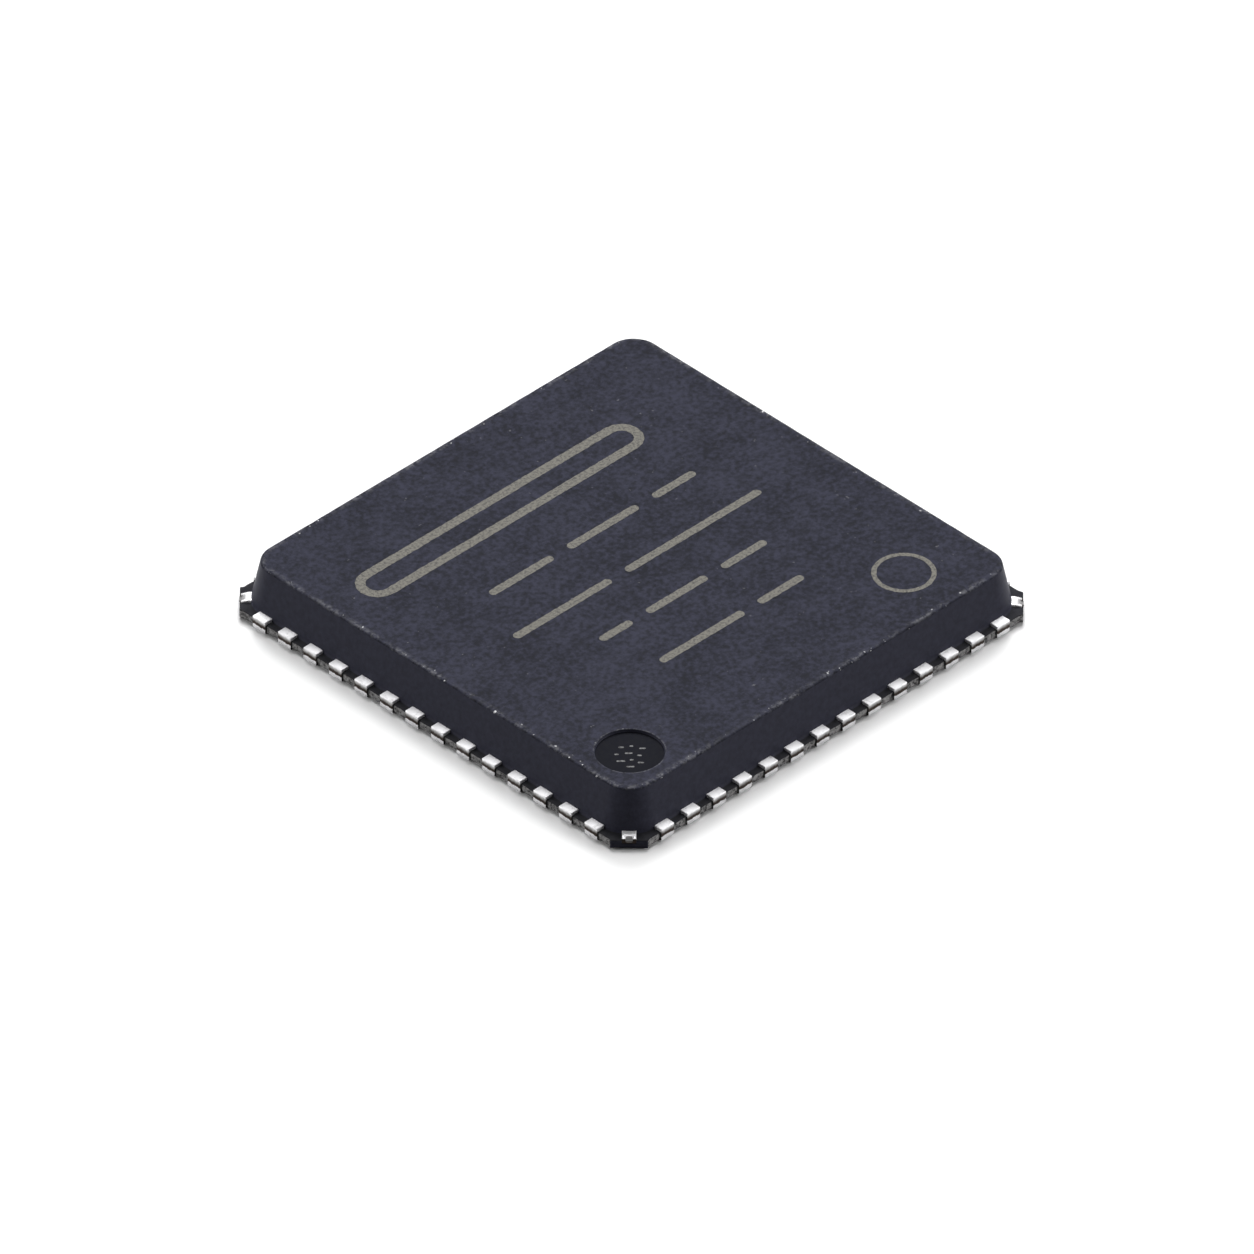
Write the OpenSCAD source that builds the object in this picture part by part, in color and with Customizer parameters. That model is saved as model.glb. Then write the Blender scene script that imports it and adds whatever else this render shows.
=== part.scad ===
// Quad flat no-lead chip package: a resin body moulded round a punched lead frame,
// with the silicon die and its bond wires sealed inside.
// Millimetres. The origin is the centre of the seating plane, +Z is up,
// and lead 1 is the first lead of the -Y side, counted counter-clockwise from the -X end.

/* [Outline] */
// Number of leads along each side
leads_per_side = 14; // [10:1:14]
// Distance between the centres of neighbouring leads
pitch = 0.5; // [0.45:0.01:0.65]
// Distance from the centre of a row's last lead to the package's edge
row_margin = 0.75; // [0.7:0.01:1]
// Height from the seating plane to the top face
package_h = 0.83; // [0.75:0.01:1.2]
// Leg of the chamfer across each corner of the outline
corner_chamfer = 0.37; // [0.3:0.01:0.5]

/* [Resin body] */
// Width of the strip of lead that shows outside the cap
ledge_w = 0.14; // [0.1:0.005:0.2]
// Draft of the cap's walls, in degrees
cap_draft = 12; // [5:1:15]
// Radius of the cap's upright corners, at the top face
cap_corner_r = 0.4; // [0.3:0.05:0.8]
// Radius of the edge round the top face
cap_edge_r = 0.03; // [0.02:0.01:0.08]
// How far the resin between the leads lies below the lead tops
web_drop = 0.045; // [0.02:0.005:0.08]
// How far the leads and the pad stand out below the resin
standoff = 0.02; // [0.01:0.005:0.05]

/* [First lead dimple] */
// Diameter of the dimple
dimple_d = 0.97; // [0.5:0.01:1.2]
// Depth of the dimple
dimple_depth = 0.05; // [0.02:0.01:0.1]
// Distance from the dimple's centre to the two nearest top edges
dimple_in = 0.715; // [0.65:0.005:1.2]

/* [Lead frame] */
// Thickness of the lead frame
frame_t = 0.2; // [0.15:0.01:0.25]
// Thickness that the half-etch leaves on tongues, rim and tie bars
etched_t = 0.1; // [0.06:0.01:0.12]
// Width of a lead
lead_w = 0.25; // [0.18:0.01:0.3]
// Length of a lead's sole, which is soldered
sole_l = 0.4; // [0.3:0.01:0.5]
// Radius that the punch rolls on the lower edge of a lead's end
punch_r = 0.03; // [0.01:0.005:0.05]
// Width of the tie bars that carry the pad from the corners
tie_w = 0.2; // [0.15:0.01:0.26]
// Gap between a tie bar and the tongues of the corner leads
tie_gap = 0.1; // [0.06:0.01:0.15]
// Width of the dent that the punch drags into the end of a tie bar
dent_w = 0.1; // [0.06:0.01:0.12]
// Length of the dent along the tie bar
dent_l = 0.07; // [0.04:0.01:0.1]
// Depth of the dent at the tie bar's end
dent_depth = 0.05; // [0.02:0.005:0.055]

/* [Exposed pad] */
// Gap between the soles of the leads and the exposed pad
pad_gap = 0.65; // [0.55:0.01:0.8]
// Width of the half-etched rim round the pad
rim_w = 0.12; // [0.06:0.01:0.15]
// Gap between the tips of the tongues and the rim
tongue_gap = 0.28; // [0.2:0.01:0.35]
// Leg of the chamfer that marks the pad's first corner
pad_chamfer = 0.35; // [0.2:0.01:0.6]

/* [Die and wires] */
// Margin of bare pad round the die
die_margin = 0.95; // [0.6:0.01:1.2]
// Thickness of the die
die_t = 0.25; // [0.15:0.01:0.28]
// Distance from the die's edge to the ball bonds
bond_in = 0.1; // [0.07:0.01:0.15]
// Distance from the die's corner to the first ball bond of a row
bond_corner = 0.25; // [0.2:0.01:0.35]
// Thickness of the bond wire
wire_d = 0.025; // [0.018:0.001:0.03]
// Diameter of the ball bonds
ball_d = 0.06; // [0.045:0.005:0.075]
// Height of the ball bonds
ball_h = 0.016; // [0.01:0.001:0.02]
// Height of the wire loops above the die
loop_h = 0.13; // [0.08:0.01:0.15]
// Length of the stitch that joins a wire to its lead
stitch_l = 0.07; // [0.05:0.01:0.1]

/* [Hidden] */
$fn = 48;
resin_colour = "#33343b";
tin_colour = "#d8d8d4";
silicon_colour = "#6c7078";
gold_colour = "#d9b45a";

sides = 4;
lead_count = sides * leads_per_side;
row_l = (leads_per_side - 1) * pitch;
package_w = row_l + 2 * row_margin;
half_w = package_w / 2;
// Distance from the centre to the face of a corner chamfer
chamfer_at = (package_w - corner_chamfer) / sqrt(2);

etched_z = frame_t - etched_t;
web_z = frame_t - web_drop;
pad_w = package_w - 2 * (sole_l + pad_gap);
rim_total_w = pad_w + 2 * rim_w;
tongue_l = pad_gap - rim_w - tongue_gap;

cap_rise = package_h - web_z;
cap_top_w = package_w - 2 * ledge_w - 2 * (package_h - frame_t) * tan(cap_draft);
cap_corner_at = cap_top_w / 2 - cap_corner_r;
// Length that the edge radius takes from the top face and from the wall
edge_trim = cap_edge_r / tan(45 + cap_draft / 2);
edge_steps = 4;

dimple_at = cap_top_w / 2 - dimple_in;

die_w = pad_w - 2 * die_margin;
die_top = frame_t + die_t;
bond_row_l = die_w - 2 * bond_corner;
bond_pitch = bond_row_l / (leads_per_side - 1);
bond_y = die_w / 2 - bond_in;
ball_sides = 8;
stitch_y = half_w - sole_l + lead_w / 2;

// Length by which a cutting shape runs past the face that it cuts
overrun = 0.02;

function lead_name(i) = str("lead_", i < 10 ? "0" : "", i);
function side_of(i) = floor((i - 1) / leads_per_side);
function place_in_row(i) = (i - 1) % leads_per_side;
function lead_x(i) = place_in_row(i) * pitch - row_l / 2;
function bond_x(i) = place_in_row(i) * bond_pitch - bond_row_l / 2;

lead_names = [for (i = [1 : lead_count]) lead_name(i)];

// Unit vector along a direction, and the same vector turned a quarter turn to the left
function unit(v) = v / norm(v);
function left_of(v) = [-v.y, v.x];

// Mitred offset of a path's point k by a distance d to the left
function heading_in(path, k) = unit(path[max(k, 1)] - path[max(k, 1) - 1]);
function heading_out(path, k) = heading_in(path, min(k + 1, len(path) - 1));
function mitre(path, k) =
    let (bisector = unit(left_of(heading_in(path, k)) + left_of(heading_out(path, k))))
    bisector / (bisector * left_of(heading_in(path, k)));
function offset_path(path, d) = [for (k = [0 : len(path) - 1]) path[k] + d * mitre(path, k)];
function reversed(list) = [for (k = [len(list) - 1 : -1 : 0]) list[k]];

// A band of width w along a path
module band(path, w) {
    polygon(concat(offset_path(path, w / 2), reversed(offset_path(path, -w / 2))));
}

// Turns a shape to the side that carries lead i
module on_side(i) {
    rotate(90 * side_of(i)) children();
}

// Places a shape at lead i: its origin at the middle of the lead's end, its +Y inwards
module at_lead(i) {
    on_side(i) translate([lead_x(i), -half_w]) children();
}

// Square outline of the package with its four chamfered corners
module outline_plan() {
    intersection() {
        square(package_w, center = true);
        rotate(45) square(2 * chamfer_at, center = true);
    }
}

// Four bars of width w along the diagonals, from the centre past the corners
module tie_plan(w) {
    for (k = [0 : sides - 1])
        rotate(45 + 90 * k) translate([0, -w / 2]) square([package_w, w]);
}

// Plan of a lead that reaches inwards from the package's edge to a round tip
module lead_plan(reach) {
    tip_r = lead_w / 2;
    translate([-tip_r, 0]) square([lead_w, reach - tip_r]);
    translate([0, reach - tip_r]) circle(tip_r);
}

// Lead as etched: the full-thickness sole, and the tongue cut back where a tie bar passes
module lead_blank(i) {
    linear_extrude(frame_t) at_lead(i) lead_plan(sole_l);
    translate([0, 0, etched_z]) linear_extrude(etched_t) difference() {
        at_lead(i) lead_plan(sole_l + tongue_l);
        tie_plan(tie_w + 2 * tie_gap);
    }
}

// Corner that the punch rolls off the lower edge of a lead's end
module punch_roll() {
    rotate([90, 0, 90]) linear_extrude(lead_w + 2 * overrun, center = true) difference() {
        translate([-overrun, -overrun]) square(punch_r + overrun);
        translate([punch_r, punch_r]) circle(punch_r);
    }
}

module lead(i) {
    color(tin_colour) difference() {
        lead_blank(i);
        at_lead(i) punch_roll();
    }
}

// Exposed pad with its first corner chamfered
module pad_plan() {
    half_pad = pad_w / 2;
    cut = pad_chamfer - half_pad;
    polygon([[cut, -half_pad], [half_pad, -half_pad], [half_pad, half_pad],
        [-half_pad, half_pad], [-half_pad, cut]]);
}

// Paddle as etched: the full-thickness pad, its thin rim and the tie bars to the corners
module paddle_blank() {
    linear_extrude(frame_t) pad_plan();
    translate([0, 0, etched_z]) linear_extrude(etched_t) {
        square(rim_total_w, center = true);
        intersection() {
            tie_plan(tie_w);
            outline_plan();
        }
    }
}

// Sloping dent in the top of the tie bar along +X, deepest at the bar's end
module tie_dent() {
    rotate([90, 0, 0]) linear_extrude(dent_w, center = true)
        polygon([[chamfer_at - dent_l, frame_t], [chamfer_at, frame_t - dent_depth],
            [chamfer_at + overrun, frame_t - dent_depth], [chamfer_at + overrun, frame_t + overrun],
            [chamfer_at - dent_l, frame_t + overrun]]);
}

module die_paddle() {
    color(tin_colour) difference() {
        paddle_blank();
        for (k = [0 : sides - 1]) rotate(45 + 90 * k) tie_dent();
    }
}

module die() {
    color(silicon_colour)
        translate([-die_w / 2, -die_w / 2, frame_t]) cube([die_w, die_w, die_t]);
}

// One bond wire: ball on the die, upright neck, long slope and flat stitch on the lead
module bond_wire(i) {
    ball_at = [bond_x(i), -bond_y];
    stitch_at = [lead_x(i), -stitch_y];
    run = stitch_at - ball_at;
    span = norm(run);
    stitch_z = frame_t + wire_d / 2;
    path = [[0, die_top + ball_h / 2], [0, die_top + loop_h],
        [span - stitch_l / 2, stitch_z], [span + stitch_l / 2, stitch_z]];
    on_side(i) translate(ball_at) {
        translate([0, 0, die_top]) cylinder(d = ball_d, h = ball_h, $fn = ball_sides);
        rotate(atan2(run.y, run.x)) rotate([90, 0, 0])
            linear_extrude(wire_d, center = true) band(path, wire_d);
    }
}

module bond_wires() {
    color(gold_colour) for (i = [1 : lead_count]) bond_wire(i);
}

// Half section of the cap, out from the centre line of its upright corners
module cap_section(inner) {
    wall_foot = cap_corner_r + cap_rise * tan(cap_draft);
    arc_at = [cap_corner_r - edge_trim, package_h - cap_edge_r];
    arc = [for (k = [0 : edge_steps])
        let (a = 90 - (90 - cap_draft) * k / edge_steps)
        arc_at + cap_edge_r * [cos(a), sin(a)]];
    polygon(concat([[inner, web_z], [inner, package_h]], arc, [[wall_foot, web_z]]));
}

// Drafted cap: on each side a half bar with the section's wall, and a turned corner beside it
module cap() {
    for (k = [0 : sides - 1]) rotate(90 * k) {
        translate([cap_corner_at, 0, 0]) rotate([90, 0, 0])
            linear_extrude(2 * cap_corner_at, center = true) cap_section(-cap_corner_at);
        translate([cap_corner_at, cap_corner_at, 0]) rotate_extrude(angle = 90) cap_section(0);
    }
}

// Ledge that fills the outline between the leads and the pad
module ledge() {
    translate([0, 0, standoff]) linear_extrude(web_z - standoff) outline_plan();
}

module dimple() {
    translate([-dimple_at, -dimple_at, package_h - dimple_depth])
        cylinder(d = dimple_d, h = dimple_depth + overrun);
}

module mould_body() {
    color(resin_colour) difference() {
        union() {
            cap();
            ledge();
        }
        dimple();
        for (i = [1 : lead_count]) lead_blank(i);
        paddle_blank();
        die();
        bond_wires();
    }
}

mould_body();
die_paddle();
die();
bond_wires();
for (i = [1 : lead_count]) lead(i);
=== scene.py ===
import math

import bmesh
import bpy
from mathutils import Matrix, Vector, noise


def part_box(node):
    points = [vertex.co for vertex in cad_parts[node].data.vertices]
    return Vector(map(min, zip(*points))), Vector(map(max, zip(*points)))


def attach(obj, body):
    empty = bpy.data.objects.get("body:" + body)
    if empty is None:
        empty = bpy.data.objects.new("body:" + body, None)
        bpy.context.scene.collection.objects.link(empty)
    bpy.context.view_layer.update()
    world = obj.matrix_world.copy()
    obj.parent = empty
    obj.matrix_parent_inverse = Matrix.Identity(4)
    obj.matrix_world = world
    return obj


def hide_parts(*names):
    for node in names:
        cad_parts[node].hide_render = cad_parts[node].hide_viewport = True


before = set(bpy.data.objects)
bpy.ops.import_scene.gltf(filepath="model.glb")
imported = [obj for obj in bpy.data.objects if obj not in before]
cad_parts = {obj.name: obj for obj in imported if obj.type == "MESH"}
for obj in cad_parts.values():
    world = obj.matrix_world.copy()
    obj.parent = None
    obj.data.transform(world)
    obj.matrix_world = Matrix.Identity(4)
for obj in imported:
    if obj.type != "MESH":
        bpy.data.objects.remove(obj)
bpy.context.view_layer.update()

# Without a seed of its own, the noise that makes surfaces uneven would differ from run to run
NOISE_SEED = 7
noise.seed_set(NOISE_SEED)

# Lengths below are in millimetres. Meshes are made in millimetres and turned to metres at the end.
MM = 0.001


def box_mm(node):
    """Lowest and highest corner of a CAD node, in millimetres."""
    low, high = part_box(node)
    return low / MM, high / MM


# Sizes that the frame gives
body_low, body_high = box_mm("mould_body")
lead_low, lead_high = box_mm("lead_02")
HALF_W = body_high.x
PACKAGE_H = body_high.z
STANDOFF = body_low.z
FRAME_T = lead_high.z
LEAD_W = lead_high.x - lead_low.x
LEAD_REACH = lead_high.y - lead_low.y
LEAD_NAMES = sorted(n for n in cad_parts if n.startswith("lead_"))

# Sizes that are the same as in the part's source
CORNER_CHAMFER = 0.37
LEDGE_W = 0.14
CAP_DRAFT = math.radians(12)
CAP_CORNER_R = 0.4
CAP_EDGE_R = 0.03
WEB_DROP = 0.045
DIMPLE_D = 0.97
DIMPLE_DEPTH = 0.05
DIMPLE_IN = 0.715
ETCHED_T = 0.1
SOLE_L = 0.4
PUNCH_R = 0.03
TIE_W = 0.2
TIE_GAP = 0.1
DENT_W = 0.1
DENT_DEPTH = 0.05

# Sizes worked out from those
WEB_Z = FRAME_T - WEB_DROP
ETCHED_Z = FRAME_T - ETCHED_T
CHAMFER_AT = (2 * HALF_W - CORNER_CHAMFER) / math.sqrt(2)
CAP_TOP_HALF = HALF_W - LEDGE_W - (PACKAGE_H - FRAME_T) * math.tan(CAP_DRAFT)
DIMPLE_AT = CAP_TOP_HALF - DIMPLE_IN

# Fineness of the meshes
OUTLINE_STEP = 0.03
CAP_STEP = 0.05
CAP_CORNER_STEPS = 24
EDGE_STEPS = 6
DIMPLE_STEPS = 128
SMOOTH_ANGLE = math.radians(35)
JOIN_DISTANCE = 1e-5
ROUND_PROFILE = 0.5

# The photograph's camera: a long lens, fitted to the lead ends and the edges of the top face
IMAGE_PX = 1254
FOCAL_PX = 45820
SENSOR_MM = 36
CAMERA_AZIMUTH = math.radians(-44.766)
CAMERA_ELEVATION = math.radians(37.478)
CAMERA_ROLL = math.radians(0.184)
CAMERA_DISTANCE = 630.889
CAMERA_SIDE = -0.0614
CAMERA_RISE = -0.2388
CAMERA_CLIP_M = (0.01, 10)


# Node helpers

def new_material(name):
    """An empty node material with its Principled shader."""
    material = bpy.data.materials.new(name)
    material.use_nodes = True
    tree = material.node_tree
    return material, tree, tree.nodes["Principled BSDF"]


def link(tree, source, target):
    tree.links.new(source, target)


def position_mm(tree):
    """The point on the object, in millimetres."""
    coords = tree.nodes.new("ShaderNodeTexCoord")
    scale = tree.nodes.new("ShaderNodeVectorMath")
    scale.operation = "SCALE"
    scale.inputs["Scale"].default_value = 1 / MM
    link(tree, coords.outputs["Object"], scale.inputs[0])
    return scale.outputs[0]


def noise_at(tree, vector, texture):
    """Noise of a texture: about how many features a millimetre, their detail and their roughness."""
    scale, detail, roughness = texture
    node = tree.nodes.new("ShaderNodeTexNoise")
    node.inputs["Scale"].default_value = scale
    node.inputs["Detail"].default_value = detail
    node.inputs["Roughness"].default_value = roughness
    link(tree, vector, node.inputs["Vector"])
    return node.outputs["Fac"]


def remap(tree, value, span, to=(0.0, 1.0)):
    """A value, taken smoothly from one span to another."""
    node = tree.nodes.new("ShaderNodeMapRange")
    node.interpolation_type = "SMOOTHSTEP"
    for name, limit in zip(("From Min", "From Max", "To Min", "To Max"), (*span, *to)):
        node.inputs[name].default_value = limit
    link(tree, value, node.inputs["Value"])
    return node.outputs["Result"]


def combine(tree, operation, first, second):
    """Math on two values, each an output or a number."""
    node = tree.nodes.new("ShaderNodeMath")
    node.operation = operation
    for slot, value in zip(node.inputs, (first, second)):
        if isinstance(value, (int, float)):
            slot.default_value = value
        else:
            link(tree, value, slot)
    return node.outputs[0]


def blend_colours(tree, factor, first, second):
    """Colour from first to second, each an output or a colour."""
    node = tree.nodes.new("ShaderNodeMix")
    node.data_type = "RGBA"
    link(tree, factor, node.inputs["Factor"])
    for slot, value in zip((node.inputs[6], node.inputs[7]), (first, second)):
        if isinstance(value, tuple):
            slot.default_value = (*value, 1.0)
        else:
            link(tree, value, slot)
    return node.outputs[2]


def bump(tree, height, depth_mm):
    """Normal of a relief of this depth."""
    node = tree.nodes.new("ShaderNodeBump")
    node.inputs["Distance"].default_value = depth_mm * MM
    link(tree, height, node.inputs["Height"])
    return node.outputs["Normal"]


def height_of(tree, vector):
    """The upward part of a position."""
    node = tree.nodes.new("ShaderNodeSeparateXYZ")
    link(tree, vector, node.inputs[0])
    return node.outputs["Z"]


def attribute(tree, name):
    node = tree.nodes.new("ShaderNodeAttribute")
    node.attribute_name = name
    return node.outputs["Fac"]


# Materials

RESIN_DARK = (0.0117, 0.0123, 0.0185)
RESIN_PALE = (0.0393, 0.0408, 0.0622)
RESIN_WORN = (0.15, 0.15, 0.165)
RESIN_CHIP = (0.75, 0.75, 0.77)
WALL_DARK = (0.0263, 0.0268, 0.0412)
WALL_PALE = (0.0472, 0.048, 0.072)
LEDGE_DARK = (0.022, 0.0222, 0.0265)
LEDGE_PALE = (0.034, 0.0343, 0.041)
RESIN_BLACK = (0.01, 0.0105, 0.013)
TOP_GLOSS = 0.09
WALL_GLOSS = 0.08
PRESSED_GLOSS = 0.02
# The next colour serves both as the dark crumbs of broken resin and as the painted shade along the webs'
# borders
FRACTURE_DARK_AND_SHADE = (0.014, 0.014, 0.015)
FRACTURE_PALE = (0.5, 0.49, 0.49)
TIN_PALE = (0.945, 0.94, 0.955)
TIN_GREY = (0.65, 0.645, 0.655)
TIN_DULL = (0.3, 0.295, 0.29)
TIN_BLACK = (0.09, 0.088, 0.086)
TIN_METALLIC = 0.8
FLANK_METALLIC = 0.15
COPPER_DARK = (0.05, 0.036, 0.03)
# Near-black copper: the dark of torn copper, and on the lead flanks below the ledge also painted shade
COPPER_BLACK_AND_SHADE = (0.012, 0.01, 0.009)
LASER_PALE = (0.18, 0.172, 0.15)
LASER_DARK = (0.06, 0.057, 0.052)
# The next colour, the pale of the dimple's flecks, is a painted glint on their dark resin
FLECK_GLINT = (0.2, 0.2, 0.205)
FLECK_DARK = (0.03, 0.03, 0.032)
SILICON_DARK = (0.1, 0.11, 0.13)
SILICON_PALE = (0.2, 0.21, 0.24)
GOLD_PALE = (0.9, 0.66, 0.27)
GOLD_DARK = (0.72, 0.48, 0.16)

# Textures: about how many features a millimetre, their detail and their roughness
TOP_GRAIN = (13, 5, 0.65)
TOP_BLOTCHES = (1.6, 3, 0.6)
TOP_SPECKS = (9, 3, 0.6)
WEAR_SPECKS = (14, 4, 0.7)
WEAR_PATCHES = (2.2, 2, 0.5)
WEAR_CHIPS = (16, 1, 0.5)
DRAWN_GRAIN = (11, 4, 0.6)
PRESSED_GRAIN = (14, 4, 0.6)
BROKEN_CRUMBS = (22, 4, 0.65)
BURNT_CRUMBS = (24, 4, 0.65)
TIN_PATCHES = (7, 4, 0.6)
TIN_GRAIN = (60, 2, 0.5)
TORN_BORDER = (16, 3, 0.6)
SCRAPED_PATCHES = (20, 3, 0.55)
SILICON_PATCHES = (1.5, 3, 0.55)
GOLD_PATCHES = (12, 3, 0.55)

# Depths of the reliefs
TOP_RELIEF = 0.006
DRAWN_RELIEF = 0.0015
PRESSED_RELIEF = 0.002
BROKEN_RELIEF = 0.014
BURNT_RELIEF = 0.006
TIN_RELIEF = 0.0006
END_RELIEF = 0.005

# Roughness of the surfaces, lowest and highest
TOP_ROUGH = (0.68, 0.84)
DRAWN_ROUGH = (0.42, 0.5)
PRESSED_ROUGH = (0.58, 0.68)
BROKEN_ROUGH = (0.7, 0.9)
BURNT_ROUGH = (0.75, 0.95)
MATTE_TIN_ROUGH = (0.5, 0.61)
BURNISHED_TIN_ROUGH = (0.36, 0.44)
END_ROUGH = (0.5, 0.65)
FLANK_ROUGH = (0.55, 0.7)
TORN_ROUGH = (0.5, 0.7)
SCRAPED_ROUGH = (0.8, 0.95)
SILICON_ROUGH = (0.15, 0.25)
GOLD_ROUGH = (0.2, 0.35)

# Spans of a noise or an attribute over which a look changes, and how much of it shows there
FULL_SPAN = (0.0, 1.0)
COMMON_SPAN = (0.3, 0.7)
WIDE_SPAN = (0.25, 0.75)
WEAR_SPECK_SPAN = (0.4, 0.64)
WEAR_PATCH_SPAN = (0.38, 0.6)
WEAR_PATCH_SHARE = (0.12, 0.8)
WEAR_CHIP_SPAN = (0.72, 0.76)
MOTTLE_SPAN = (0.34, 0.66)
GRAIN_SHARE = 0.75
BLOTCH_SHARE = 0.25
TOP_SPECK_SPAN = (0.7, 0.76)
TOP_SPECK_SHARE = 0.6
DRAWN_SPAN = (0.1, 0.9)
BROKEN_UNSHADED_SPAN = (0.0, 0.75)
BROKEN_CRUMB_SPAN = (0.3, 0.68)
BURNT_SPAN = (0.32, 0.6)
TIN_DULL_SPAN = (0.56, 0.76)

# Heights on a lead's end where bare and dulled metal begin and leave off, and how ragged the borders are
BARE_FROM = (0.075, 0.085)
BARE_TO = (0.15, 0.115)
DULLED_FROM = (0.08, 0.1)
DULLED_TO = (0.2, 0.14)
END_RAGGED = 0.008
FLANK_RAGGED = 0.006


def worn_edge(tree, at, skin):
    """Pale, broken wear along the cap's top edge, with a few bright chips in it."""
    edge = attribute(tree, "edge_wear")
    specks = remap(tree, noise_at(tree, at, WEAR_SPECKS), WEAR_SPECK_SPAN)
    patches = remap(tree, noise_at(tree, at, WEAR_PATCHES), WEAR_PATCH_SPAN, WEAR_PATCH_SHARE)
    worn = combine(tree, "MULTIPLY", edge, combine(tree, "MULTIPLY", specks, patches))
    chips = combine(tree, "MULTIPLY", edge, remap(tree, noise_at(tree, at, WEAR_CHIPS), WEAR_CHIP_SPAN))
    return blend_colours(tree, chips, blend_colours(tree, worn, skin, RESIN_WORN), RESIN_CHIP)


def top_resin_material():
    """The blasted top of the cap: a sandy skin with faint blotches, pale specks and a worn edge."""
    material, tree, shader = new_material("blasted_resin")
    at = position_mm(tree)
    grain = noise_at(tree, at, TOP_GRAIN)
    blotch = noise_at(tree, at, TOP_BLOTCHES)
    grain_part = combine(tree, "MULTIPLY", grain, GRAIN_SHARE)
    blotch_part = combine(tree, "MULTIPLY", blotch, BLOTCH_SHARE)
    mottle = combine(tree, "ADD", grain_part, blotch_part)
    skin = blend_colours(tree, remap(tree, mottle, MOTTLE_SPAN), RESIN_DARK, RESIN_PALE)
    specks = remap(tree, noise_at(tree, at, TOP_SPECKS), TOP_SPECK_SPAN)
    skin = blend_colours(tree, combine(tree, "MULTIPLY", specks, TOP_SPECK_SHARE), skin, RESIN_WORN)
    link(tree, worn_edge(tree, at, skin), shader.inputs["Base Color"])
    shader.inputs["Specular IOR Level"].default_value = TOP_GLOSS
    link(tree, remap(tree, grain, WIDE_SPAN, TOP_ROUGH), shader.inputs["Roughness"])
    link(tree, bump(tree, grain, TOP_RELIEF), shader.inputs["Normal"])
    return material


def drawn_resin_material(name, dark, pale):
    """Resin that the mould drew smooth, on the cap's walls and on the ledge."""
    material, tree, shader = new_material(name)
    grain = noise_at(tree, position_mm(tree), DRAWN_GRAIN)
    mottle = remap(tree, grain, DRAWN_SPAN)
    link(tree, blend_colours(tree, mottle, dark, pale), shader.inputs["Base Color"])
    shader.inputs["Specular IOR Level"].default_value = WALL_GLOSS
    link(tree, remap(tree, grain, COMMON_SPAN, DRAWN_ROUGH), shader.inputs["Roughness"])
    link(tree, bump(tree, grain, DRAWN_RELIEF), shader.inputs["Normal"])
    return material


def pressed_resin_material():
    """Resin pressed by smooth steel, in the dimple and underneath: blacker and finer than the skin."""
    material, tree, shader = new_material("pressed_resin")
    grain = noise_at(tree, position_mm(tree), PRESSED_GRAIN)
    link(tree, blend_colours(tree, grain, RESIN_BLACK, RESIN_DARK), shader.inputs["Base Color"])
    shader.inputs["Specular IOR Level"].default_value = PRESSED_GLOSS
    link(tree, remap(tree, grain, COMMON_SPAN, PRESSED_ROUGH), shader.inputs["Roughness"])
    link(tree, bump(tree, grain, PRESSED_RELIEF), shader.inputs["Normal"])
    return material


def web_resin_and_shade_material():
    """Resin that the punch broke between the leads: grey and rough, with painted shade that darkens it
    towards its borders, by the leads, the floor and its upper edge.
    """
    material, tree, shader = new_material("web_resin_and_shade")
    crumbs = noise_at(tree, position_mm(tree), BROKEN_CRUMBS)
    # Towards a web's borders the colour goes to the dark one: painted shade
    inside = remap(tree, attribute(tree, "web_unshaded"), BROKEN_UNSHADED_SPAN)
    pale = combine(tree, "MULTIPLY", inside, remap(tree, crumbs, BROKEN_CRUMB_SPAN))
    link(tree, blend_colours(tree, pale, FRACTURE_DARK_AND_SHADE, FRACTURE_PALE), shader.inputs["Base Color"])
    link(tree, remap(tree, crumbs, COMMON_SPAN, BROKEN_ROUGH), shader.inputs["Roughness"])
    link(tree, bump(tree, crumbs, BROKEN_RELIEF), shader.inputs["Normal"])
    return material


def tin_material(name, rough):
    """Tin plating with a fine grain and duller patches."""
    material, tree, shader = new_material(name)
    at = position_mm(tree)
    dull = remap(tree, noise_at(tree, at, TIN_PATCHES), TIN_DULL_SPAN)
    grain = noise_at(tree, at, TIN_GRAIN)
    link(tree, blend_colours(tree, dull, TIN_PALE, TIN_GREY), shader.inputs["Base Color"])
    shader.inputs["Metallic"].default_value = TIN_METALLIC
    link(tree, remap(tree, grain, COMMON_SPAN, rough), shader.inputs["Roughness"])
    link(tree, bump(tree, grain, TIN_RELIEF), shader.inputs["Normal"])
    return material


def ragged_level(tree, at, ragged, depth):
    """Height on the object, made uneven by a noise."""
    return combine(tree, "ADD", height_of(tree, at), remap(tree, ragged, COMMON_SPAN, (-depth, depth)))


def punched_end_material():
    """A lead's punched end: tin drawn over the lower part, bare dark copper torn above it."""
    material, tree, shader = new_material("punched_end")
    at = position_mm(tree)
    ragged = noise_at(tree, at, TORN_BORDER)
    level = ragged_level(tree, at, ragged, END_RAGGED)
    bare = combine(tree, "MULTIPLY", remap(tree, level, BARE_FROM), remap(tree, level, BARE_TO))
    dulled = combine(tree, "MULTIPLY", remap(tree, level, DULLED_FROM), remap(tree, level, DULLED_TO))
    surface = blend_colours(tree, dulled, TIN_PALE, TIN_DULL)
    link(tree, blend_colours(tree, bare, surface, COPPER_DARK), shader.inputs["Base Color"])
    shader.inputs["Metallic"].default_value = TIN_METALLIC
    link(tree, remap(tree, bare, FULL_SPAN, END_ROUGH), shader.inputs["Roughness"])
    link(tree, bump(tree, ragged, END_RELIEF), shader.inputs["Normal"])
    return material


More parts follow.
